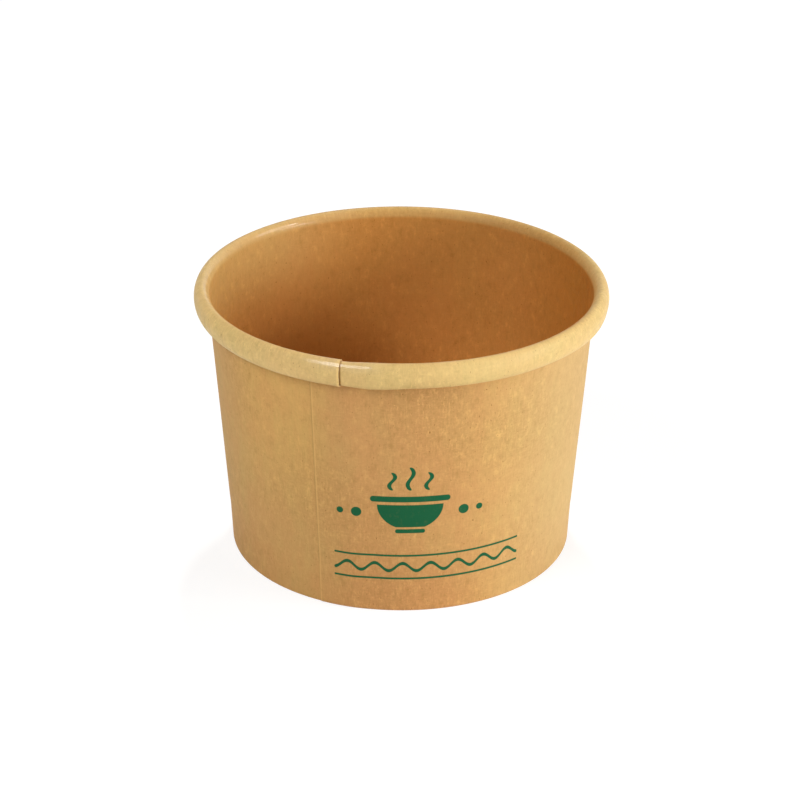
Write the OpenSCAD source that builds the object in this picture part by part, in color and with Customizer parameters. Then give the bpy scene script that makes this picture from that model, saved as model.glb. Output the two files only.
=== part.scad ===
// Round paper soup cup of two heat-sealed paperboard blanks.
// The side wall is a sheet wrapped into a cone, lapped at one side, rolled outwards at the
// rim and folded in at the foot. The base is a disc with a turned-down skirt, and the
// folded hem of the wall clamps that skirt. The axis is Z and the cup stands on Z = 0.

/* [Cup] */
// Outside diameter across the rolled rim
rim_d = 91; // [84:0.5:110]
// Height from the foot to the top of the rim
cup_h = 61.5; // [45:0.1:110]
// Outside diameter of the wall at the foot
foot_d = 76.1; // [66:0.1:80]

/* [Board] */
// Thickness of the side wall's board
board_t = 0.4; // [0.3:0.05:0.5]
// Thickness of the base's board
base_t = 0.35; // [0.25:0.05:0.5]
// Gap left for the seal on each face of the base's skirt
seal_gap = 0.03; // [0.02:0.01:0.05]

/* [Rolled rim] */
// Width of the roll, from the inside of the wall to the outside of the rim
roll_w = 3.5; // [3.2:0.1:4.2]
// Height of the roll
roll_h = 5.5; // [5:0.05:7]
// How much narrower the lower half of the roll is than the upper half
roll_tuck = 0.35; // [0.2:0.05:0.5]
// Radius of the tucked end of the roll
tail_r = 1.05; // [1:0.05:1.2]
// Angle that the tucked end turns through
tail_turn = 75; // [40:5:90]

/* [Side seam] */
// Direction of the edge that shows on the rim, counted from +X towards +Y
seam_at = 253.5; // [240:0.5:300]
// Angle that the two layers of the lap cover
lap_turn = 10; // [6:1:14]
// Angle over which the outer layer climbs onto the inner one
ramp_turn = 9; // [6:1.5:12]
// How far the layers are pressed into each other at the seam
lap_press = 0.03; // [0.02:0.01:0.05]

/* [Foot and base] */
// Height of the base's upper face above the foot
base_h = 8.4; // [6:0.1:14]
// Height of the inner leg of the folded hem
hem_h = 7; // [4:0.1:7.5]
// Radius inside the fold of the hem
fold_r = 0.1; // [0.08:0.01:0.14]
// Lean of the wall over the hem, in degrees from upright
hem_lean = 3; // [1:0.25:4]
// Height of the pressed hem above the base's upper face, where the wall bends outwards
hem_press = 0.8; // [0.5:0.1:2]
// Outside radius where the base turns down into its skirt
base_corner_r = 1; // [0.8:0.1:1.5]
// Gap between the skirt's lower edge and the fold
skirt_gap = 0.1; // [0.05:0.05:0.3]

/* [Hidden] */
$fn = 72;

// Steps of the climb beside the seam and of the curves in the section
ramp_steps = 6;
fold_steps = 2;
roll_steps = 10;
tuck_steps = 5;
tail_steps = 3;
corner_steps = 3;

// How much sooner the outer layer of the lap ends than the inner one, for each mm of lift:
// in mm at the hem and in degrees at the tucked end of the roll
leg_stagger = 1;
tail_stagger = 10;

// Centre and half axes of the roll, an ellipse whose lower half is narrower
roll_a = roll_w / 2;
roll_b = roll_h / 2;
roll_c = [rim_d / 2 - roll_a, cup_h - roll_b];

// Space between the legs of the hem, which holds the base's skirt
hem_gap = base_t + 2 * seal_gap;
bend_z = base_h + hem_press;

// Radius of the wall's inner face over the hem, at a height
function hem_r(z) = foot_d / 2 - board_t / cos(hem_lean) + z * tan(hem_lean);

// Where the upper wall, which starts at the bend, runs tangent into the roll
bend = [hem_r(bend_z), bend_z];
sight = [(bend.x - roll_c.x) / roll_a, (bend.y - roll_c.y) / roll_b];
roll_start = atan2(sight.y, sight.x) - acos(1 / norm(sight)) + 360;
wall_lean = atan2(roll_a * sin(roll_start), -roll_b * cos(roll_start));

function polar(r, angle) = [r * cos(angle), r * sin(angle)];
function steps(from, to, n) = [for (i = [0:n]) from + (to - from) * i / n];

// A point on an ellipse, moved towards its inside by d
function ellipse_point(c, a, b, angle, d) =
    let (out = [cos(angle) / a, sin(angle) / b])
    c + [a * cos(angle), b * sin(angle)] - d * out / norm(out);

// One face of the sheet in section, from the hem's inner end to the roll's tucked end.
// d is its distance from the lined face, and lift that of the layer from the inner layer.
// The fold rises with the lift, so that both layers stand on Z = 0.
function sheet_face(d, lift) =
    let (
        leg_n = -polar(1, -hem_lean),
        leg_z = hem_h - leg_stagger * lift,
        fold_z = board_t + fold_r + lift,
        fold_in = [hem_r(fold_z) - (hem_gap - fold_r) / cos(hem_lean), fold_z],
        fold_out = [hem_r(fold_z) - fold_r / cos(hem_lean), fold_z],
        mitre = polar(1, -hem_lean) + polar(1, -wall_lean),
        tuck_c = roll_c + [roll_tuck, 0],
        tail_c = tuck_c + [0, tail_r - roll_b],
        tail_end = -90 - tail_turn + tail_stagger * lift
    )
    concat(
        [[hem_r(leg_z) - hem_gap / cos(hem_lean), leg_z] + d * leg_n],
        [for (a = steps(180 - hem_lean, 270, fold_steps)) fold_in + polar(fold_r + d, a)],
        [for (a = steps(270, 360 - hem_lean, fold_steps)) fold_out + polar(fold_r + d, a)],
        [bend + d * 2 * mitre / (mitre * mitre)],
        [for (a = steps(roll_start, 0, roll_steps)) ellipse_point(roll_c, roll_a, roll_b, a, d)],
        [for (i = [1:tuck_steps])
            ellipse_point(tuck_c, roll_a - roll_tuck, roll_b, -90 * i / tuck_steps, d)],
        [for (i = [1:tail_steps])
            tail_c + polar(tail_r - d, -90 + (tail_end + 90) * i / tail_steps)]
    );

function reversed(list) = [for (i = [len(list) - 1:-1:0]) list[i]];

// Section of one layer of the sheet
module sheet_section(lift) {
    polygon(concat(sheet_face(lift, lift), reversed(sheet_face(lift + board_t, lift))));
}

// The part of the wrapped sheet from one direction on, through an angle
module wrap(from, turn) {
    rotate_extrude(start = from, angle = turn)
        children();
}

// Side wall: one layer all round, two at the lap, and the climb on the seam's right side
module side_wall() {
    lap_lift = board_t - lap_press;
    step_turn = ramp_turn / ramp_steps;
    color([0.78, 0.61, 0.38]) {
        wrap(seam_at + ramp_turn, 360 - ramp_turn - lap_turn)
            sheet_section(0);
        wrap(seam_at - lap_turn, lap_turn) {
            sheet_section(0);
            sheet_section(lap_lift);
        }
        for (i = [0:ramp_steps - 1])
            wrap(seam_at + i * step_turn, step_turn)
                sheet_section(lap_lift * (1 - (i + 0.5) / ramp_steps));
    }
}

// One face of the base in section, from the axis to the skirt's lower edge.
// d is its distance below the lined upper face.
function base_face(d) =
    let (
        corner_z = base_h - base_corner_r,
        corner = [hem_r(corner_z) - (seal_gap + base_corner_r) / cos(hem_lean), corner_z],
        skirt_z = board_t + fold_r + skirt_gap
    )
    concat(
        [[0, base_h - d]],
        [for (a = steps(90, -hem_lean, corner_steps)) corner + polar(base_corner_r - d, a)],
        [[hem_r(skirt_z) - (seal_gap + d) / cos(hem_lean), skirt_z]]
    );

// Base: a disc whose rim turns down into the hem
module base() {
    color([0.74, 0.55, 0.33])
        rotate_extrude()
            polygon(concat(base_face(0), reversed(base_face(base_t))));
}

side_wall();
base();
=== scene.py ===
# %% [markdown]
# # A paper soup cup
#
# A soup cup is two flat pieces of board made round. The **side wall** is a fan-shaped blank,
# wrapped into a cone until its ends lap, then rolled outwards at the rim and folded in at the
# foot. The **base** is a disc with its edge turned down, and the fold at the foot clamps it.
#
# The looks follow that: a section is drawn once, a Geometry Nodes tree wraps it round the
# axis with its lap, and three finishes go on it: matt board outside, a satin lining inside
# and over the rim, and the pale raw edge where the board was cut.

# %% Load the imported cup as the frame
import math
import bpy
from mathutils import Matrix, Vector


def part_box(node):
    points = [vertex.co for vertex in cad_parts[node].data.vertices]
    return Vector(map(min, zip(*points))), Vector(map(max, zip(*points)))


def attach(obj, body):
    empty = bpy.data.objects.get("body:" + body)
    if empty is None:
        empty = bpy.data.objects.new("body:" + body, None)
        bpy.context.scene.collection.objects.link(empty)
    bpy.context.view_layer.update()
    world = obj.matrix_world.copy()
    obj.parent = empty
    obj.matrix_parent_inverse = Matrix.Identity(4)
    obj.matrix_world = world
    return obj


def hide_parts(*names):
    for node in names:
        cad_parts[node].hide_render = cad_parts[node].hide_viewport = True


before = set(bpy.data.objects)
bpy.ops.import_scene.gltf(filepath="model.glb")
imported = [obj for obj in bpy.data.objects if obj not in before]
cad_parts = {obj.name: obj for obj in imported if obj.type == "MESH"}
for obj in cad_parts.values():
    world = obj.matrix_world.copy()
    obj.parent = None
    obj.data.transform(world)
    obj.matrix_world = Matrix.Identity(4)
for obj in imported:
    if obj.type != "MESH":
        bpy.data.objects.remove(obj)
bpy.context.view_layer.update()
MM = 0.001
wall_low, wall_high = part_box("side_wall")
_, base_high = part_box("base")
print("wall box", [round(v / MM, 2) for v in (*wall_low, *wall_high)])

# %% [markdown]
# ## Sizes
#
# The frame gives the outside of the cup. What a box can't tell, such as the board's thickness
# or how the rim is rolled, is a named value here, in metres, as on a drawing of the cup.

# %% Sizes of the cup
rim_r = wall_high.x
cup_h = wall_high.z
foot_r = 38.05 * MM
board_t = 0.4 * MM
base_t = 0.35 * MM
seal_gap = 0.03 * MM
roll_a = 1.75 * MM
roll_b = 2.75 * MM
roll_tuck = 0.35 * MM
tail_r = 1.05 * MM
tail_turn = math.radians(75)
base_h = base_high.z
base_corner_r = 1 * MM
hem_h = 7 * MM
hem_lean = math.radians(3)
hem_gap = base_t + 2 * seal_gap
fold_r = 0.1 * MM
hem_press = 0.8 * MM
bend_z = base_h + hem_press
skirt_gap = 0.1 * MM
layer_gap = 0.01 * MM
print("rim radius", round(rim_r / MM, 2), "height", round(cup_h / MM, 2), "mm")

# %% [markdown]
# ## The section of the sheet
#
# Cut through, the wall is one line of board: down the inner leg of the hem, round the fold,
# up the wall, over the rolled rim and into its tucked end. A polyline with arcs worked out by
# formula keeps the true fold and roll, where a bevelled curve would only come near them.
# Each point carries the direction through the board, so that the second face of the sheet,
# and the outer layer of the lap, can be offset from it exactly.

# %% Points of the section
def at_angle(angle):
    return Vector((math.cos(angle), math.sin(angle)))


def hem_line(z):
    """Radius of the wall's inner face over the hem, at a height."""
    return foot_r - board_t / math.cos(hem_lean) + z * math.tan(hem_lean)


def spread(start, end, count):
    """count values from start to end, both kept."""
    return [start + (end - start) * i / (count - 1) for i in range(count)]


def ellipse(centre, a, b, angle):
    """A point of the roll and the direction into it."""
    into = -Vector((math.cos(angle) / a, math.sin(angle) / b)).normalized()
    return centre + Vector((a * math.cos(angle), b * math.sin(angle))), into


roll_c = Vector((rim_r - roll_a, cup_h - roll_b))
tuck_c = roll_c + Vector((roll_tuck, 0))
tail_c = tuck_c + Vector((0, tail_r - roll_b))
bend = Vector((hem_line(bend_z), bend_z))
sight = Vector(((bend.x - roll_c.x) / roll_a, (bend.y - roll_c.y) / roll_b))
roll_start = math.atan2(sight.y, sight.x) - math.acos(1 / sight.length) + math.tau
wall_lean = math.atan2(roll_a * math.sin(roll_start), -roll_b * math.cos(roll_start))


def hem_rows():
    """The hem's inner leg, its fold and the wall over it."""
    leg_n, wall_n = -at_angle(-hem_lean), at_angle(-hem_lean)
    slope, fold_z = math.cos(hem_lean), board_t + fold_r
    up, still = Vector((math.tan(hem_lean), 1)), Vector((0, 0))
    rows = []
    for z in spread(hem_h, fold_z + 0.3 * MM, 8):
        rows.append((Vector((hem_line(z) - hem_gap / slope, z)), leg_n,
                     -up if z == hem_h else still, "leg"))
    for side, first, last in ((hem_gap - fold_r, math.pi - hem_lean, 1.5 * math.pi),
                              (fold_r, 1.5 * math.pi, math.tau - hem_lean)):
        centre = Vector((hem_line(fold_z) - side / slope, fold_z))
        for angle in spread(first, last, 5):
            rows.append((centre + fold_r * at_angle(angle), at_angle(angle), up, "fold"))
    for z in spread(fold_z + 0.8 * MM, bend_z - 1 * MM, 7):
        rows.append((Vector((hem_line(z), z)), wall_n, still, "hem"))
    return rows


def rim_rows():
    """The wall above the hem, the roll and its tucked end."""
    still = Vector((0, 0))
    bend_n = (at_angle(-hem_lean) + at_angle(-wall_lean)).normalized()
    roll_foot, roll_n = ellipse(roll_c, roll_a, roll_b, roll_start)
    rows = [(bend, bend_n, still, "hem")]
    for share in spread(0.03, 0.985, 24):
        rows.append((bend.lerp(roll_foot, share), roll_n, still, "wall"))
    for angle in spread(roll_start, 0, 24):
        rows.append((*ellipse(roll_c, roll_a, roll_b, angle), still, "roll"))
    for angle in spread(0, -math.pi / 2, 12)[1:]:
        rows.append((*ellipse(tuck_c, roll_a - roll_tuck, roll_b, angle), still, "tuck"))
    for angle in spread(-math.pi / 2, -math.pi / 2 - tail_turn, 7)[1:]:
        rows.append((tail_c + tail_r * at_angle(angle), -at_angle(angle), still, "tail"))
    return rows


def lengths(rows):
    """How far along the board each point is, from the hem's inner end."""
    steps = [0.0] + [(b[0] - a[0]).length for a, b in zip(rows, rows[1:])]
    return [sum(steps[:i + 1]) for i in range(len(steps))]


wall_rows = hem_rows() + rim_rows()
wall_lengths = lengths(wall_rows)
zones = [row[3] for row in wall_rows]
roll_begins = wall_lengths[zones.index("roll")]
tuck_begins = wall_lengths[zones.index("tuck")]
sheet_ends = wall_lengths[-1]
print("the section has", len(wall_rows), "points, and the wall leans",
      round(math.degrees(wall_lean), 2), "degrees")
print("along the board the roll begins at", round(roll_begins / MM, 1), "and its lower half at",
      round(tuck_begins / MM, 1), "of", round(sheet_ends / MM, 1), "mm")

# %% [markdown]
# ## One helper for every node tree
#
# Node trees grow fast, so one small class wraps a socket and lets ordinary Python arithmetic
# add the Math nodes. A second one makes any other node from its type, its settings and its
# inputs. The same two serve the Geometry Nodes tree and all the materials.

# %% Sockets that can be added and multiplied
class Value:
    """An output socket. Arithmetic on it adds Math nodes to its tree."""

    def __init__(self, net, socket):
        self.net, self.socket = net, socket

    def math(self, operation, *others):
        inputs = dict(enumerate((self, *others)))
        return self.net.node("ShaderNodeMath", {"operation": operation}, inputs)

    def __add__(self, other):
        return self.math("ADD", other)

    def __sub__(self, other):
        return self.math("SUBTRACT", other)

    def __mul__(self, other):
        return self.math("MULTIPLY", other)

    def __truediv__(self, other):
        return self.math("DIVIDE", other)

    def __rsub__(self, other):
        return self.net.number(other).math("SUBTRACT", self)

    def __neg__(self):
        return self * -1

    __radd__ = __add__
    __rmul__ = __mul__

    def part(self, name):
        """Another output of the node that this socket is on."""
        return Value(self.net, self.socket.node.outputs[name])

    def between(self, low, high, start=0.0, end=1.0):
        """start below low, end above high, with a smooth change between them."""
        return self.net.node("ShaderNodeMapRange", {"interpolation_type": "SMOOTHSTEP"}, {
            "Value": self, "From Min": low, "From Max": high, "To Min": start, "To Max": end})


class Net:
    """A node tree that is written as expressions."""

    def __init__(self, tree):
        self.tree = tree

    def node(self, kind, settings=None, inputs=None):
        """Makes a node and returns its first output in use."""
        made = self.tree.nodes.new(kind)
        for name, setting in (settings or {}).items():
            setattr(made, name, setting)
        for key, value in (inputs or {}).items():
            socket = made.inputs[key] if isinstance(key, int) else next(
                s for s in made.inputs if s.name == key and s.enabled)
            if isinstance(value, Value):
                self.tree.links.new(value.socket, socket)
            else:
                socket.default_value = value
        outputs = [s for s in made.outputs if s.enabled]
        return Value(self, outputs[0] if outputs else made.inputs[0])

    def number(self, value):
        return self.node("ShaderNodeMath", {"operation": "ADD"}, {0: value, 1: 0.0})

    def vector(self, x=0.0, y=0.0, z=0.0):
        return self.node("ShaderNodeCombineXYZ", None, {"X": x, "Y": y, "Z": z})

    def axes(self, vector):
        """The three numbers of a vector."""
        x = self.node("ShaderNodeSeparateXYZ", None, {"Vector": vector})
        return x, x.part("Y"), x.part("Z")

    def vector_math(self, operation, *inputs, **named):
        return self.node("ShaderNodeVectorMath", {"operation": operation},
                         {**dict(enumerate(inputs)), **named})

    def noise(self, vector, seed=0.0, scale=1.0, detail=2.0, roughness=0.5):
        """Fractal noise, between 0 and 1 and mostly near 0.5."""
        return self.node("ShaderNodeTexNoise", {"noise_dimensions": "4D"}, {
            "Vector": vector, "W": seed, "Scale": scale, "Detail": detail,
            "Roughness": roughness})

    def mix(self, factor, first, second, blend="MIX"):
        """A colour between first and second."""
        return self.node("ShaderNodeMix", {"data_type": "RGBA", "blend_type": blend},
                         {"Factor": factor, "A": first, "B": second})


# %% [markdown]
# ## Wrapping the sheet
#
# The real wall is one sheet, and its two ends lap by about 7 mm. The end that shows on the
# rim lies inside. Going round from it the sheet comes back to where it began, climbs over its
# own thickness and ends on top, which is the edge that shows on the wall. A tree that turns
# the section through 370 degrees and lifts it at the end makes both edges, the step on the
# rim and the slope beside it from one rule. A plain spin would leave no seam at all.
#
# The tree makes the lined face as a grid, and extrudes it through the board. The second face
# is moved by each point's own direction, so the board keeps its thickness round the roll.

# %% The section as a mesh line that the tree reads
LAP_START = math.radians(253.5)
LAP_TURN = math.radians(10)
CLIMB_TURN = math.radians(9)
FULL_TURN = math.tau
lap_lift = board_t + layer_gap


def section_mesh(rows, name):
    """A line of points in the XZ plane with what the tree needs to know at each."""
    mesh = bpy.data.meshes.new(name)
    mesh.from_pydata([(p.x, 0, p.y) for p, _, _, _ in rows],
                     [(i, i + 1) for i in range(len(rows) - 1)], [])
    through, slide, zone = [], [], []
    for point, inward, shift, where in rows:
        through += (inward.x, 0, inward.y)
        slide += (shift.x, 0, shift.y)
        zone += (where == "wall", where in ("roll", "tuck", "tail"), where in ("tuck", "tail"))
    for label, values in (("through", through), ("slide", slide), ("zone", zone)):
        mesh.attributes.new(label, "FLOAT_VECTOR", "POINT").data.foreach_set("vector", values)
    mesh.attributes.new("along", "FLOAT", "POINT").data.foreach_set("value", lengths(rows))
    return mesh


def add_inputs(tree, *sockets):
    """Named inputs of a tree, each a (name, kind, default) row."""
    tree.interface.new_socket("Geometry", in_out="OUTPUT", socket_type="NodeSocketGeometry")
    tree.interface.new_socket("Section", in_out="INPUT", socket_type="NodeSocketGeometry")
    for name, kind, default in sockets:
        socket = tree.interface.new_socket(name, in_out="INPUT", socket_type="NodeSocket" + kind)
        if default is not None:
            socket.default_value = default


print("the lap is", round(LAP_TURN * rim_r / MM, 1), "mm wide at the rim")

# %% [markdown]
# The tree itself. Board that is rolled and sealed is never quite even, so a few inputs bring
# that in: slow waves in the wall and the roll, small dents beside the seam, a corner of the
# edge that stands off, a roll that is fuller in some stretches, and layers that are pressed
# into each other where they lap. Each is a depth, so 0 gives the plain form.

# %% The tree
def wrapped_sheet_tree():
    tree = bpy.data.node_groups.new("Wrapped sheet", "GeometryNodeTree")
    add_inputs(tree, ("Steps", "Int", 480), ("Start", "Float", LAP_START),
               ("Turn", "Float", FULL_TURN + LAP_TURN), ("Lift", "Float", lap_lift),
               ("Board", "Float", board_t), ("Wall waves", "Float", 0.0),
               ("Roll waves", "Float", 0.0), ("Seam dents", "Float", 0.0),
               ("Lifted corner", "Float", 0.0), ("Fuller side", "Float", 0.0),
               ("Pressed end", "Float", 0.0), ("Pressed roll", "Float", 0.0),
               ("Seed", "Float", 0.0), ("Outside", "Material", None),
               ("Lining", "Material", None), ("Cut edge", "Material", None))
    net = Net(tree)
    given = net.node("NodeGroupInput")
    section = given.part("Section")

    count = net.node("GeometryNodeAttributeDomainSize", {"component": "MESH"},
                     {"Geometry": section})
    grid = net.node("GeometryNodeMeshGrid", None, {
        "Size X": 1.0, "Size Y": 1.0, "Vertices X": given.part("Steps"), "Vertices Y": count})
    across, up, _ = net.axes(net.node("GeometryNodeInputPosition"))
    turned = (across + 0.5) * given.part("Turn")
    row = net.node("FunctionNodeFloatToInt", {"rounding_mode": "ROUND"},
                   {0: (up + 0.5) * (count - 1)})

    def sampled(kind, name=None):
        source = net.node("GeometryNodeInputPosition") if name is None else net.node(
            "GeometryNodeInputNamedAttribute", {"data_type": kind}, {"Name": name})
        return net.node("GeometryNodeSampleIndex", {"data_type": kind, "domain": "POINT"},
                        {"Geometry": section, "Value": source, "Index": row})

    through = sampled("FLOAT_VECTOR", "through")
    along = sampled("FLOAT", "along")
    on_wall, on_roll, on_tuck = net.axes(sampled("FLOAT_VECTOR", "zone"))
    angle = given.part("Start") - turned
    cosine, sine = angle.math("COSINE"), angle.math("SINE")

    def turn(vector):
        x, _, z = net.axes(vector)
        return net.vector(x * cosine, x * sine, z)

    # The climb onto the inner layer. Over the roll the two are pressed closer together
    climbed = turned.between(FULL_TURN - CLIMB_TURN, FULL_TURN)
    squeeze = given.part("Pressed roll") * on_roll * along.between(
        roll_begins, roll_begins + 3 * MM)
    lift = climbed * (given.part("Lift") - squeeze)

    # The slow waves, and the dents just before the seam
    seed = given.part("Seed")
    spot = net.vector_math("SCALE", turn(sampled("FLOAT_VECTOR")), Scale=1 / MM)
    wall_wave = net.noise(spot, seed, scale=0.06, detail=1.0)
    roll_wave = net.noise(spot, seed + 3.0, scale=0.12)
    dent = net.noise(spot, seed + 7.0, scale=0.7, detail=2.0)
    near_seam = turned.between(FULL_TURN - 0.30, FULL_TURN - 0.03) * on_roll

    # The corner of the edge on the rim, and the stretches where the roll's lower half is
    # fuller: round the right, from the seam leftwards, and just before the seam
    corner = (1.0 - turned.between(0.0, 0.055)) * along.between(
        tuck_begins, tuck_begins + 3 * MM) * on_roll
    at_right = turned.between(3.5, 4.2) * turned.between(5.3, 4.7)
    after_seam = turned.between(1.1, 0.0) * 1.3
    before_seam = turned.between(FULL_TURN - 0.36, FULL_TURN - 0.10) * 1.6
    fuller = (at_right + after_seam + before_seam) * on_tuck * along.between(
        tuck_begins + 0.8 * MM, tuck_begins + 3 * MM)
    uneven = (wall_wave * on_wall * given.part("Wall waves")
              + roll_wave * on_roll * given.part("Roll waves")
              + dent * near_seam * given.part("Seam dents")
              - corner * given.part("Lifted corner") - fuller * given.part("Fuller side"))

    moved = net.vector_math("SCALE", through, Scale=lift + uneven)
    slid = net.vector_math("SCALE", sampled("FLOAT_VECTOR", "slide"), Scale=lift)
    flat = net.vector_math("ADD", net.vector_math("ADD", sampled("FLOAT_VECTOR"), moved), slid)

    def store(geometry, name, kind, value, domain="POINT"):
        return net.node("GeometryNodeStoreNamedAttribute", {"data_type": kind, "domain": domain},
                        {"Geometry": geometry, "Name": name, "Value": value})

    # The outer end is pressed thin on the wall, and the layers on the roll into each other
    pressed = turned.between(FULL_TURN + LAP_TURN - 0.045, FULL_TURN + LAP_TURN) * on_wall
    lapped = turned.between(LAP_TURN + 0.05, LAP_TURN)
    thickness = given.part("Board") - pressed * given.part("Pressed end") - squeeze * lapped
    marked = store(grid, "board_way", "FLOAT_VECTOR",
                   net.vector_math("SCALE", turn(through), Scale=thickness))
    marked = store(marked, "UVMap", "FLOAT2", net.vector(turned * rim_r, along), "CORNER")
    lined = net.node("GeometryNodeSetPosition", None, {"Geometry": marked, "Position": turn(flat)})

    # The second face and the cut edges between the two
    extruded = net.node("GeometryNodeExtrudeMesh", {"mode": "FACES"},
                        {"Mesh": lined, "Offset Scale": 0.0, "Individual": False})
    is_top, is_side = extruded.part("Top"), extruded.part("Side")
    board_way = net.node("GeometryNodeInputNamedAttribute", {"data_type": "FLOAT_VECTOR"},
                         {"Name": "board_way"})
    outer = net.node("GeometryNodeSetPosition", None, {
        "Geometry": extruded, "Selection": is_top, "Offset": board_way})
    outer = net.node("GeometryNodeFlipFaces", None, {"Mesh": outer})
    joined = net.node("GeometryNodeJoinGeometry")
    for part in (outer, lined):
        tree.links.new(part.socket, joined.socket.node.inputs[0])
    whole = net.node("GeometryNodeMergeByDistance", None,
                     {"Geometry": joined, "Distance": 1e-6})
    whole = store(whole, "sharp_edge", "BOOLEAN", net.node(
        "GeometryNodeInputMeshEdgeAngle").math("GREATER_THAN", math.radians(40)), "EDGE")
    whole = net.node("GeometryNodeRemoveAttribute", None,
                     {"Geometry": whole, "Name": "board_way"})
    whole = net.node("GeometryNodeRealizeInstances", None, {"Geometry": whole})
    for name, faces in (("Lining", True), ("Outside", is_top), ("Cut edge", is_side)):
        whole = net.node("GeometryNodeSetMaterial", None, {
            "Geometry": whole, "Selection": faces, "Material": given.part(name)})
    net.node("NodeGroupOutput", None, {"Geometry": whole})
    print("the tree has", len(tree.nodes), "nodes")
    return tree


sheet_tree = wrapped_sheet_tree()

# %% [markdown]
# ## Finishes: what kraft board looks like
#
# Unbleached board is a warm brown with soft clouds in it, and close to it one sees fibres,
# most of them lying up the wall, and a few dark flecks of bark. Both sides are the same
# board. Outside it is bare and matt, and inside a thin clear lining deepens its colour and
# gives it a satin gloss, which shows most on the rim, because the lining is rolled outwards.
#
# The fibres are read from the sheet's own UV map, in millimetres along the board. So they
# follow the wall over the rim as they do on a real cup, and break off at the seam. The wide
# clouds are read from the place on the cup, which keeps them even across the seam.
#
# A dark tone is browner than the colour and a light one paler, as fibres are. A few large
# soft clouds, each at a place on the cup, then shift the tone there: some are the board's own,
# most are painted light and shade, marked where they stand.

# %% Board pattern
def srgb(red, green, blue):
    """A colour as a picture shows it, in the linear values that Blender works in."""
    def linear(value):
        share = value / 255
        return share / 12.92 if share <= 0.04045 else ((share + 0.055) / 1.055) ** 2.4
    return (linear(red), linear(green), linear(blue), 1.0)


def tint(colour, amount):
    """The colour made lighter or darker by one factor."""
    return (*(min(channel * amount, 1.0) for channel in colour[:3]), 1.0)


def finish(name):
    """A new material as a net, with its surface shader and output joined."""
    material = bpy.data.materials.new(name)
    material.use_nodes = True
    material.node_tree.nodes.clear()
    net = Net(material.node_tree)
    surface = net.node("ShaderNodeBsdfPrincipled")
    net.node("ShaderNodeOutputMaterial", None, {"Surface": surface})
    net.surface = surface.socket.node
    return material, net


def plug(net, name, value):
    """Sets or links one input of the net's surface shader."""
    if isinstance(value, Value):
        net.tree.links.new(value.socket, net.surface.inputs[name])
    else:
        net.surface.inputs[name].default_value = value


def sheet_mm(net):
    """How far round and how far up the sheet a point is, in millimetres."""
    uv = net.node("ShaderNodeUVMap", {"uv_map": "UVMap"})
    round_way, up_way, _ = net.axes(uv)
    return round_way / MM, up_way / MM


def board(net, colour, seed, contrast=1.0, fine=1.0, rosy=1.0):
    """The colour of kraft board and the height of its fibres."""
    round_way, up_way = sheet_mm(net)
    place = net.node("ShaderNodeTexCoord").part("Object")
    place_mm = net.vector_math("SCALE", place, Scale=1 / MM)
    clouds = net.noise(place_mm, seed, scale=0.045, detail=2.0)
    blush = net.noise(place_mm, seed + 5.0, scale=0.06, detail=3.0)

    def lying(across, up, shift, detail=2.0, roughness=0.6):
        return net.noise(net.vector(round_way * across, up_way * up), seed + shift,
                         detail=detail, roughness=roughness)

    streak = lying(0.30, 0.07, 13.0, 3.0)
    mottle = lying(0.46, 0.34, 11.0, 4.0, 0.66)
    fibre = lying(2.1, 0.6, 23.0, 3.0, 0.68)
    cross = lying(0.8, 2.3, 31.0, 3.0, 0.68)
    bark = lying(1.9, 1.3, 47.0, 1.0)
    hair = lying(2.0, 1.5, 53.0, 1.0)
    dark = (colour[0] * 0.77, colour[1] * 0.73, colour[2] * 0.66, 1.0)
    light = tint(colour, 1.22)
    pink = (colour[0] * 1.03, colour[1] * 0.90, colour[2] * 0.94, 1.0)
    red = (colour[0] * 0.52, colour[1] * 0.36, colour[2] * 0.28, 1.0)
    patchy = clouds.between(0.3, 0.7, 0.6, 1.3) * contrast
    tone = net.mix(blush.between(0.38, 0.62) * (0.7 * rosy), colour, pink)
    tone = net.mix(streak.between(0.62, 0.38) * (0.45 * rosy), tone, pink)
    tone = net.mix(clouds.between(0.32, 0.68) * (0.24 * contrast), tone, dark)
    for part, share in ((mottle, 0.60), (fibre, 0.42 * fine), (cross, 0.28 * fine)):
        tone = net.mix(part.between(0.51, 0.72) * share * patchy, tone, dark)
        tone = net.mix(part.between(0.49, 0.28) * share * patchy, tone, light)
    tone = net.mix(hair.between(0.68, 0.76) * (0.45 * contrast), tone, light)
    tone = net.mix(bark.between(0.67, 0.75) * (0.6 * contrast), tone, red)
    return tone, fibre * 0.5 + cross * 0.3 + mottle * 0.6


def toned(net, tone, *clouds):
    """The tone times large soft clouds, each a (where, shade) pair."""
    for where, shade in clouds:
        tone = net.mix(where, tone, (*shade, 1.0), "MULTIPLY")
    return tone


def bumped(net, height, depth, strength=1.0):
    return net.node("ShaderNodeBump", None,
                    {"Strength": strength, "Distance": depth, "Height": height})


KRAFT = srgb(203, 163, 99)
LINED = srgb(201, 143, 73)
# The roll's colour is a paler, lit copy of the lining: painted light where the roll faces the
# lamps
LIT_ROLL = srgb(217, 187, 122)
print("kraft board is", [round(c, 3) for c in KRAFT[:3]], "in linear values")

# %% [markdown]
# ## The print
#
# Cups like this carry a small one-colour print low on the front. Here it is a plain soup bowl
# with three wisps of steam and dots beside it, over a wavy line between two straight ones.
# An image would need a texture, and shapes cut from mesh would stand off the board. Drawn as
# distances in the material it stays sharp at any size: each shape is a field of numbers,
# and the ink lies where the number is below nothing.

# %% Shapes of ink
INK = srgb(3, 86, 52)
EDGE = 0.05


def inked(distance):
    """1 where a distance in millimetres is below 0, with a soft edge."""
    return distance.between(EDGE, -EDGE)


def largest(first, *others):
    for other in others:
        first = first.math("MAXIMUM", other)
    return first


def smallest(first, *others):
    for other in others:
        first = first.math("MINIMUM", other)
    return first


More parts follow.
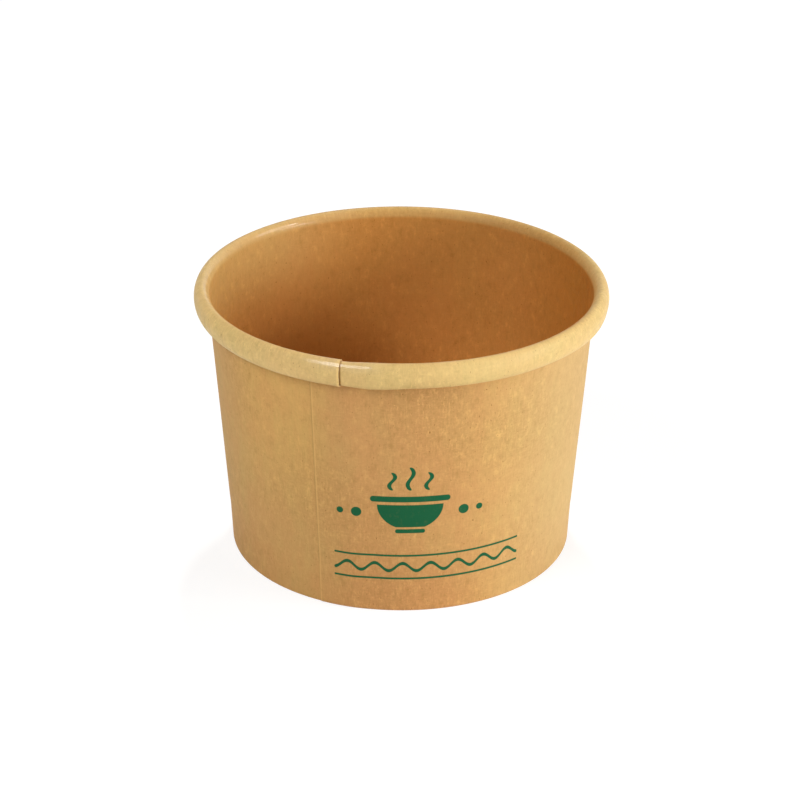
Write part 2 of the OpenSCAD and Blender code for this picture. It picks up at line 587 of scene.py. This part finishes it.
def bar(x, y, half_w, half_h, corner):
    """Distance to a bar with rounded corners, centred at 0."""
    beside = (x.math("ABSOLUTE") - (half_w - corner)).math("MAXIMUM", 0.0)
    above = (y.math("ABSOLUTE") - (half_h - corner)).math("MAXIMUM", 0.0)
    return (beside * beside + above * above).math("SQRT") - corner


def bowl_print(x, y):
    """Distance to a bowl 17 mm wide, whose rim line is at y = 0."""
    rim = bar(x, y, 8.6, 0.7, 0.65)
    body_top = y + 1.4
    body = (x * x + body_top * body_top * 1.35).math("SQRT") - 7.1
    body = largest(body, body_top, -(y + 6.9))
    return smallest(rim, body, bar(x, y + 7.9, 3.2, 0.5, 0.45))


def steam_print(x, y):
    """Distance to three wisps of steam over the bowl."""
    wisps = []
    for place, top in ((-3.9, 6.6), (0.0, 7.9), (3.9, 6.6)):
        middle, half = (2.2 + top) / 2, (top - 2.2) / 2
        sway = ((y - middle) * (math.pi / half)).math("SINE") * 0.62
        wisps.append(bar(x - place - sway, y - middle, 0.45, half, 0.44))
    return smallest(*wisps)


def dot_print(x, y):
    """Distance to two dots on each side of the bowl, the outer ones smaller."""
    beside, level = x.math("ABSOLUTE"), y + 3.4
    dots = [((beside - place) * (beside - place) + level * level).math("SQRT") - radius
            for place, radius in ((11.6, 1.15), (15.2, 0.75))]
    return smallest(*dots)


def wave_print(x, y, wave=6.0, count=7):
    """Distance to a wavy line between two straight ones, a whole number of waves long."""
    half = wave * count / 2
    middle = (x.math("ABSOLUTE") - (half - 0.4)).math("MAXIMUM", 0.0)
    swing = y - (x * (math.tau / wave)).math("COSINE") * 0.95
    wavy = (swing * swing + middle * middle).math("SQRT") - 0.42
    return smallest(wavy, bar(x, y - 2.9, half, 0.24, 0.2), bar(x, y + 2.9, half, 0.24, 0.2))


# %% [markdown]
# The print keeps its shape on the cone, so it is measured along the wall's own girth, from
# the middle of the front. The hem's inner leg lies at the same heights and faces the same
# way, so the ink ends inwards of the wall's own radius. The outer end of the sheet shows as a
# pale frayed line down the wall, with a thin dark one beside it where the board steps down.

# %% The board outside, with its print
PRINT_TURN = math.radians(3)
BOWL_HEIGHT = 28.2
WAVE_HEIGHT = 11.2
WAVE_SHIFT = 4.5
SHEEN = (1.0, 0.90, 0.72, 1.0)
LAP_MM = LAP_TURN * rim_r / MM
ROUND_MM = FULL_TURN * rim_r / MM


def kraft_outside():
    material, net = finish("kraft_board")
    x, y, z = net.axes(net.node("ShaderNodeTexCoord").part("Object"))
    turn, height_mm = x.math("ARCTAN2", -y), z / MM
    # Fibres and pink show less on the right, washed out as under the painted sheen below
    contrast = turn.between(-0.65, 0.1, 0.9, 1.5) * turn.between(1.0, 0.35, 0.5, 1.0)
    tone, height = board(net, KRAFT, 2.0, contrast, 1.2, turn.between(1.0, 0.35, 0.4, 1.0))
    front = turn.between(-0.55, -0.12) * turn.between(0.62, 0.24)
    # Painted light: a lighter patch on the left, where a soft light from the left would fall
    left = turn.between(-1.15, -0.80) * turn.between(-0.28, -0.55) * height_mm.between(12, 44)
    # Painted sheen: on the right, under the key lamp, the board is paler and bluer
    right = turn.between(0.40, 1.05) * turn.between(2.8, 1.9)
    foot = height_mm.between(16, 3)
    tone = toned(net, tone, (front, (0.95, 0.87, 0.88)), (left, (1.09, 1.06, 0.98)),
                 (right, (0.95, 1.04, 1.22)), (foot, (1.0, 0.96, 0.96)))
    girth = (x * x + y * y).math("SQRT") / MM
    on_wall = girth.math("GREATER_THAN", foot_r / MM - 0.7)

    # The sheet's outer end, and the step beside it
    round_way, _ = sheet_mm(net)
    end_mm = LAP_MM + ROUND_MM
    frayed = round_way.between(end_mm - 0.55, end_mm - 0.2)
    shaded = round_way.between(LAP_MM, LAP_MM + 0.1) * round_way.between(LAP_MM + 0.7, LAP_MM)
    tone = net.mix(frayed * on_wall * 0.5, tone, tint(KRAFT, 1.25))
    tone = net.mix(shaded * on_wall * 0.5, tone, tint(KRAFT, 0.72))

    # The print
    across = (turn - PRINT_TURN) * girth
    bowl_up = height_mm - BOWL_HEIGHT
    mark = smallest(bowl_print(across, bowl_up), steam_print(across, bowl_up),
                    dot_print(across, bowl_up),
                    wave_print(across - WAVE_SHIFT, height_mm - WAVE_HEIGHT))
    ink = inked(mark) * (1.0 - height.between(0.72, 0.95) * 0.10) * on_wall
    plug(net, "Base Color", net.mix(ink, tone, INK))
    plug(net, "Roughness", 0.58 + height.between(0.4, 0.9) * 0.14 - ink * 0.06)
    plug(net, "Specular IOR Level", 0.22)
    plug(net, "Specular Tint", SHEEN)
    plug(net, "Normal", bumped(net, height, 0.03 * MM, 0.6))
    return material


print("the ink is", [round(c, 3) for c in INK[:3]], "in linear values")

# %% [markdown]
# ## The lining and the raw edges
#
# Over the roll, which faces the lamps, the lining is painted paler than inside, a lit copy of
# its colour. At the back one sees the start of the roll, so the pale band begins lower there.
# Where the rim is pressed at its seam, the lining is smooth and throws back the light: a
# second, clearer layer over the satin one, only there and in a strip at the back. A cut shows
# the pale board between its faces.

# %% The lining and the raw edges
def inside_tone(net, x_mm, z_mm):
    """The lining below the roll, painted lit and shaded in clouds, and the height of its fibres.
    """
    tone, height = board(net, LINED, 5.0, contrast=1.1, fine=0.7, rosy=0.5)
    lit_upper_left = x_mm.between(-6, -34) * z_mm.between(40, 58)
    shaded_lower_left = x_mm.between(4, -18) * z_mm.between(42, 26)
    lit_lower_right = x_mm.between(-8, 12) * z_mm.between(40, 22)
    # Painted light: paler and yellower high on the left, lighter low in the middle
    # Painted shade: deeper and more orange on the right wall and low on the left
    return toned(net, tone, (lit_upper_left, (1.06, 1.36, 1.74)),
                 (x_mm.between(24, 42), (0.90, 0.80, 0.62)), (shaded_lower_left, (0.88, 0.86, 0.80)),
                 (lit_lower_right, (1.14, 1.14, 1.18))), height


def rim_tone(net, x_mm, y_mm, round_way, rolled):
    """The roll's lit lining, with a painted shadow in the seam's gap and the pale cut end."""
    tone, _ = board(net, LIT_ROLL, 8.0, contrast=1.1, fine=1.1, rosy=0.6)
    # Painted light: lighter at the front left, paler at the front right under the key lamp
    lit_front_left = x_mm.between(-8, -24) * y_mm.between(0, -20)
    lit_front_right = x_mm.between(6, 30) * y_mm.between(10, -10)
    # Painted shadow: a dark line in the gap beside the seam, where the layers step
    seam_gap_shadow = round_way.between(ROUND_MM - 0.55, ROUND_MM - 0.15) * rolled
    # Painted shade: the back of the roll, past y = 5 mm, is darker and more orange
    return toned(net, tone, (lit_front_left, (1.10, 1.10, 1.12)), (lit_front_right, (1.0, 1.02, 1.05)),
                 (y_mm.between(5, 25), (0.92, 0.84, 0.76)), (seam_gap_shadow, (0.46, 0.38, 0.28)),
                 (round_way.between(0.7, 0.2), (1.22, 1.22, 1.16)))


def lined_inside():
    material, net = finish("lined_board")
    round_way, up_way = sheet_mm(net)
    x, y, z = net.axes(net.node("ShaderNodeTexCoord").part("Object"))
    x_mm, y_mm, z_mm = x / MM, y / MM, z / MM

    # Where the pale band of painted light begins, lower at the back and in two steps
    rim_mm = up_way - roll_begins / MM
    behind = y_mm.between(-24, -4)
    rolled = ((rim_mm + behind * 2.3).between(2.4, 3.3) * 0.6
              + (rim_mm + behind * 0.8).between(2.2, 4.8) * 0.4)
    deep, height = inside_tone(net, x_mm, z_mm)
    pale = rim_tone(net, x_mm, y_mm, round_way, rolled)

    # Where the lining is smooth: at the seam, and in a strip at the back
    smear = net.noise(net.vector(round_way * 0.30, up_way * 0.5), 61.0, detail=2.0)
    ripple = net.noise(net.vector(round_way * 1.3, up_way * 1.9), 71.0, detail=3.0)
    beside_mm = round_way + round_way.between(100, 101) * -ROUND_MM
    near_seam = beside_mm.between(-11, -5) * beside_mm.between(9, 3)
    gloss = near_seam * (rim_mm.between(2.8, 3.6) * rim_mm.between(6.6, 5.2))
    sheen = behind * rim_mm.between(0.8, 1.6) * rim_mm.between(3.4, 2.6) * x_mm.between(-6, -16)
    plug(net, "Base Color", net.mix(rolled, deep, pale))
    plug(net, "Roughness", smear.between(0.3, 0.7, 0.40, 0.56))
    plug(net, "Specular IOR Level", 0.15)
    plug(net, "Specular Tint", SHEEN)
    plug(net, "Coat Weight", (gloss + sheen * 0.7) * smear.between(0.35, 0.65, 0.6, 1.0))
    plug(net, "Coat Roughness", 0.10)
    fibres = height * (0.8 - gloss * 0.7)
    ripples = ripple * (1.0 + rim_mm.between(0.5, 3) * 1.5 + gloss * 1.5)
    plug(net, "Normal", bumped(net, fibres + ripples, 0.035 * MM, 0.9))
    return material


def cut_edge():
    material, net = finish("cut_edge")
    x, y, z = net.axes(net.node("ShaderNodeTexCoord").part("Object"))
    grain = net.noise(net.vector(x / MM * 6.0, y / MM * 6.0, z / MM * 6.0), 3.0, detail=3.0)
    plug(net, "Base Color", net.mix(grain.between(0.35, 0.65), srgb(226, 190, 138),
                                    srgb(205, 164, 108)))
    plug(net, "Roughness", 0.9)
    plug(net, "Specular IOR Level", 0.2)
    plug(net, "Normal", bumped(net, grain, 0.04 * MM))
    return material


kraft, lining, raw_edge = kraft_outside(), lined_inside(), cut_edge()
print("finishes:", [m.name for m in bpy.data.materials if m.users])

# %% [markdown]
# ## The side wall
#
# The tree runs on the section's mesh. Its inputs are set by each socket's identifier, the
# result becomes a plain mesh, and the modifier goes, so that the piece exports as it is seen.

# %% Wrap the wall
def run_tree(name, section, tree, **inputs):
    """The mesh that a tree makes from a section, as a new object at the origin."""
    holder = bpy.data.objects.new(name + "_section", section)
    bpy.context.scene.collection.objects.link(holder)
    modifier = holder.modifiers.new("Wrap", "NODES")
    modifier.node_group = tree
    names = {s.name: s.identifier for s in tree.interface.items_tree if s.in_out == "INPUT"}
    for label, value in inputs.items():
        modifier[names[label.replace("_", " ")]] = value
    graph = bpy.context.evaluated_depsgraph_get()
    mesh = bpy.data.meshes.new_from_object(holder.evaluated_get(graph), depsgraph=graph)
    holder.modifiers.remove(modifier)
    bpy.data.objects.remove(holder)
    piece = bpy.data.objects.new(name, mesh)
    mesh.name = name
    if mesh.materials[0] is None:
        mesh.materials.pop(index=0)
    bpy.context.scene.collection.objects.link(piece)
    mesh.shade_smooth()
    triangles = sum(len(p.vertices) - 2 for p in mesh.polygons)
    print(name, "has", triangles, "triangles and", [m.name for m in mesh.materials])
    return piece


wall = run_tree("cup_wall", section_mesh(wall_rows, "wall_section"), sheet_tree,
                Wall_waves=0.10 * MM, Roll_waves=0.05 * MM, Seam_dents=0.16 * MM,
                Lifted_corner=0.10 * MM, Fuller_side=0.30 * MM, Pressed_end=0.2 * MM,
                Pressed_roll=0.17 * MM, Seed=4.0, Outside=kraft, Lining=lining,
                Cut_edge=raw_edge)

# %% [markdown]
# ## The base
#
# The base is a disc whose edge turns down into the hem. It has no seam, so it is revolved
# with its poles closed by a fan. Its lined side is up, and under it the board is bare.

# %% Revolve the base
def base_rows(depth):
    """One face of the base from the axis to the skirt's lower edge, depth below the lining."""
    corner_z = base_h - base_corner_r
    corner = Vector((hem_line(corner_z) - (seal_gap + base_corner_r) / math.cos(hem_lean),
                     corner_z))
    skirt_z = board_t + fold_r + skirt_gap
    rows = [Vector((r, base_h - depth)) for r in spread(2 * MM, corner.x - 1 * MM, 10)]
    rows += [corner + (base_corner_r - depth) * at_angle(a)
             for a in spread(math.pi / 2, -hem_lean, 7)]
    rows.append(Vector((hem_line(skirt_z) - (seal_gap + depth) / math.cos(hem_lean), skirt_z)))
    return rows


def revolved(name, rows, top, bottom, steps, materials, lined_rows):
    """A closed solid of revolution. rows run from the top pole to the bottom one."""
    verts = [(0, 0, top)]
    for step in range(steps):
        angle = math.tau * step / steps
        verts += [(r.x * math.cos(angle), r.x * math.sin(angle), r.y) for r in rows]
    verts.append((0, 0, bottom))
    count, last = len(rows), len(verts) - 1
    faces, kinds = [], []
    for step in range(steps):
        here, after = 1 + step * count, 1 + (step + 1) % steps * count
        faces.append((0, here, after))
        kinds.append(0)
        for i in range(count - 1):
            faces.append((here + i, here + i + 1, after + i + 1, after + i))
            kinds.append(0 if i < lined_rows - 1 else 2 if i == lined_rows - 1 else 1)
        faces.append((here + count - 1, last, after + count - 1))
        kinds.append(1)
    mesh = bpy.data.meshes.new(name)
    mesh.from_pydata(verts, [], faces)
    for material in materials:
        mesh.materials.append(material)
    mesh.polygons.foreach_set("material_index", kinds)
    uv = mesh.uv_layers.new(name="UVMap")
    for loop in mesh.loops:
        place = mesh.vertices[loop.vertex_index].co
        uv.data[loop.index].uv = (place.x, place.y)
    mesh.shade_smooth()
    mesh.set_sharp_from_angle(angle=math.radians(40))
    piece = bpy.data.objects.new(name, mesh)
    bpy.context.scene.collection.objects.link(piece)
    print(name, "has", sum(len(f) - 2 for f in faces), "triangles")
    return piece


upper, lower = base_rows(0.0), base_rows(base_t)
base = revolved("cup_base", upper + lower[::-1], base_h, base_h - base_t, 160,
                (lining, kraft, raw_edge), len(upper))

# %% [markdown]
# ## Camera, light and ground
#
# The camera stands about 0.6 m away, looking down at 25.5 degrees through a long lens, which
# is what the shape of the rim's ellipse and of the foot tell.

# %% Camera
FRAME_PX = 800
SENSOR = 36.0
focal_px = 2756.2
view_down = math.radians(25.51)
view_roll = math.radians(0.286)
view_distance = 615.9 * MM
aim = Vector((-0.22 * MM, 0, 32.38 * MM))

camera_data = bpy.data.cameras.new("camera")
camera_data.sensor_width = SENSOR
camera_data.lens = focal_px * SENSOR / FRAME_PX
camera_data.clip_start, camera_data.clip_end = 0.01, 20
camera = bpy.data.objects.new("camera", camera_data)
bpy.context.scene.collection.objects.link(camera)
away = Vector((0, -math.cos(view_down), math.sin(view_down)))
camera.location = aim + away * view_distance
turn_to_aim = (-away).to_track_quat("-Z", "Y").to_matrix()
camera.rotation_euler = (turn_to_aim @ Matrix.Rotation(view_roll, 3, "Z")).to_euler()
bpy.context.scene.camera = camera
print("lens", round(camera_data.lens, 1), "mm at", [round(v, 3) for v in camera.location])

# %% [markdown]
# The light is soft studio light, low from the right, with a fill from the left and above.
# Two small lamps light little, but their reflections are the highlights on the rim: one
# behind and above for the seam, one at the right for the back of the roll. All stand on a
# sphere round the cup, so a lamp is a direction, a size and a power in watts.

# %% Lamps
LAMP_DISTANCE = 1.2


def soft_box(name, turn, rise, size, power):
    """A round soft lamp that faces the cup, turn degrees to the right of the camera."""
    lamp = bpy.data.lights.new(name, "AREA")
    lamp.shape, lamp.size, lamp.energy = "DISK", size, power
    box = bpy.data.objects.new(name, lamp)
    side, up = math.radians(turn - 90), math.radians(rise)
    way = Vector((math.cos(side) * math.cos(up), math.sin(side) * math.cos(up), math.sin(up)))
    box.location = Vector((0, 0, 30 * MM)) + way * LAMP_DISTANCE
    box.rotation_euler = way.to_track_quat("Z", "Y").to_euler()
    bpy.context.scene.collection.objects.link(box)


soft_box("key_lamp", 66, 9, 0.6, 11.4)
soft_box("side_lamp", 90, 30, 0.5, 2.5)
soft_box("fill_lamp", -44, 42, 0.7, 8.0)
soft_box("front_lamp", 0, 15, 0.5, 1.0)
soft_box("rim_lamp", 178, 62, 0.08, 5.2)
soft_box("glint_lamp", 76, 36, 0.10, 1.2)
print(len(bpy.data.lights), "lamps,", round(sum(lamp.energy for lamp in bpy.data.lights)), "watts")


# %% [markdown]
# The room is white to the camera and in reflections, and dark to the board, which the lamps
# light. To the camera the floor is partly lit by the lamps and partly by itself, which makes
# it as white as the room and keeps a faint shadow beside the foot.

# %% Room and floor
def seen_directly(net):
    """1 for what the camera sees, straight or in a reflection or through glass."""
    path = net.node("ShaderNodeLightPath")
    return largest(path, path.part("Is Glossy Ray"), path.part("Is Transmission Ray"))


world = bpy.data.worlds.new("studio")
world.use_nodes = True
bpy.context.scene.world = world
world.node_tree.nodes.clear()
net = Net(world.node_tree)
net.node("ShaderNodeOutputWorld", None, {"Surface": net.node(
    "ShaderNodeBackground", None, {"Color": (1, 1, 1, 1), "Strength": seen_directly(net)})})


GROUND_REACH = 3.0
GROUND_GLOW = 0.80
GROUND_LIT = 0.3


def ground():
    """A wide white floor, paler to the camera than it lights the cup."""
    mesh = bpy.data.meshes.new("ground")
    mesh.from_pydata([(GROUND_REACH * x, GROUND_REACH * y, 0)
                      for x, y in ((-1, -1), (1, -1), (1, 1), (-1, 1))], [], [(0, 1, 2, 3)])
    floor = bpy.data.objects.new("ground", mesh)
    bpy.context.scene.collection.objects.link(floor)
    material = bpy.data.materials.new("white_ground")
    material.use_nodes = True
    material.node_tree.nodes.clear()
    net = Net(material.node_tree)
    lit = net.node("ShaderNodeBsdfDiffuse", None, {"Color": (0.86, 0.86, 0.86, 1)})
    shade = net.node("ShaderNodeBsdfDiffuse", None, {"Color": (*[GROUND_LIT] * 3, 1)})
    glow = net.node("ShaderNodeEmission", None, {"Color": (1, 1, 1, 1), "Strength": GROUND_GLOW})
    white = net.node("ShaderNodeAddShader", None, {0: glow, 1: shade})
    net.node("ShaderNodeOutputMaterial", None, {"Surface": net.node(
        "ShaderNodeMixShader", None, {0: seen_directly(net), 1: lit, 2: white})})
    mesh.materials.append(material)
    return floor


ground()
bpy.context.scene.view_settings.view_transform = "Standard"
print("the ground glows at", GROUND_GLOW, "and takes", GROUND_LIT, "of the light")

# %% [markdown]
# ## Hand over
#
# Both pieces stand for the CAD solids of the same shape, and ride on the cup's one body.

# %% Ride and replace
for piece, node, slot in ((wall, "side_wall", "wall_board"), (base, "base", "base_board")):
    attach(piece, "root")
    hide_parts(node)
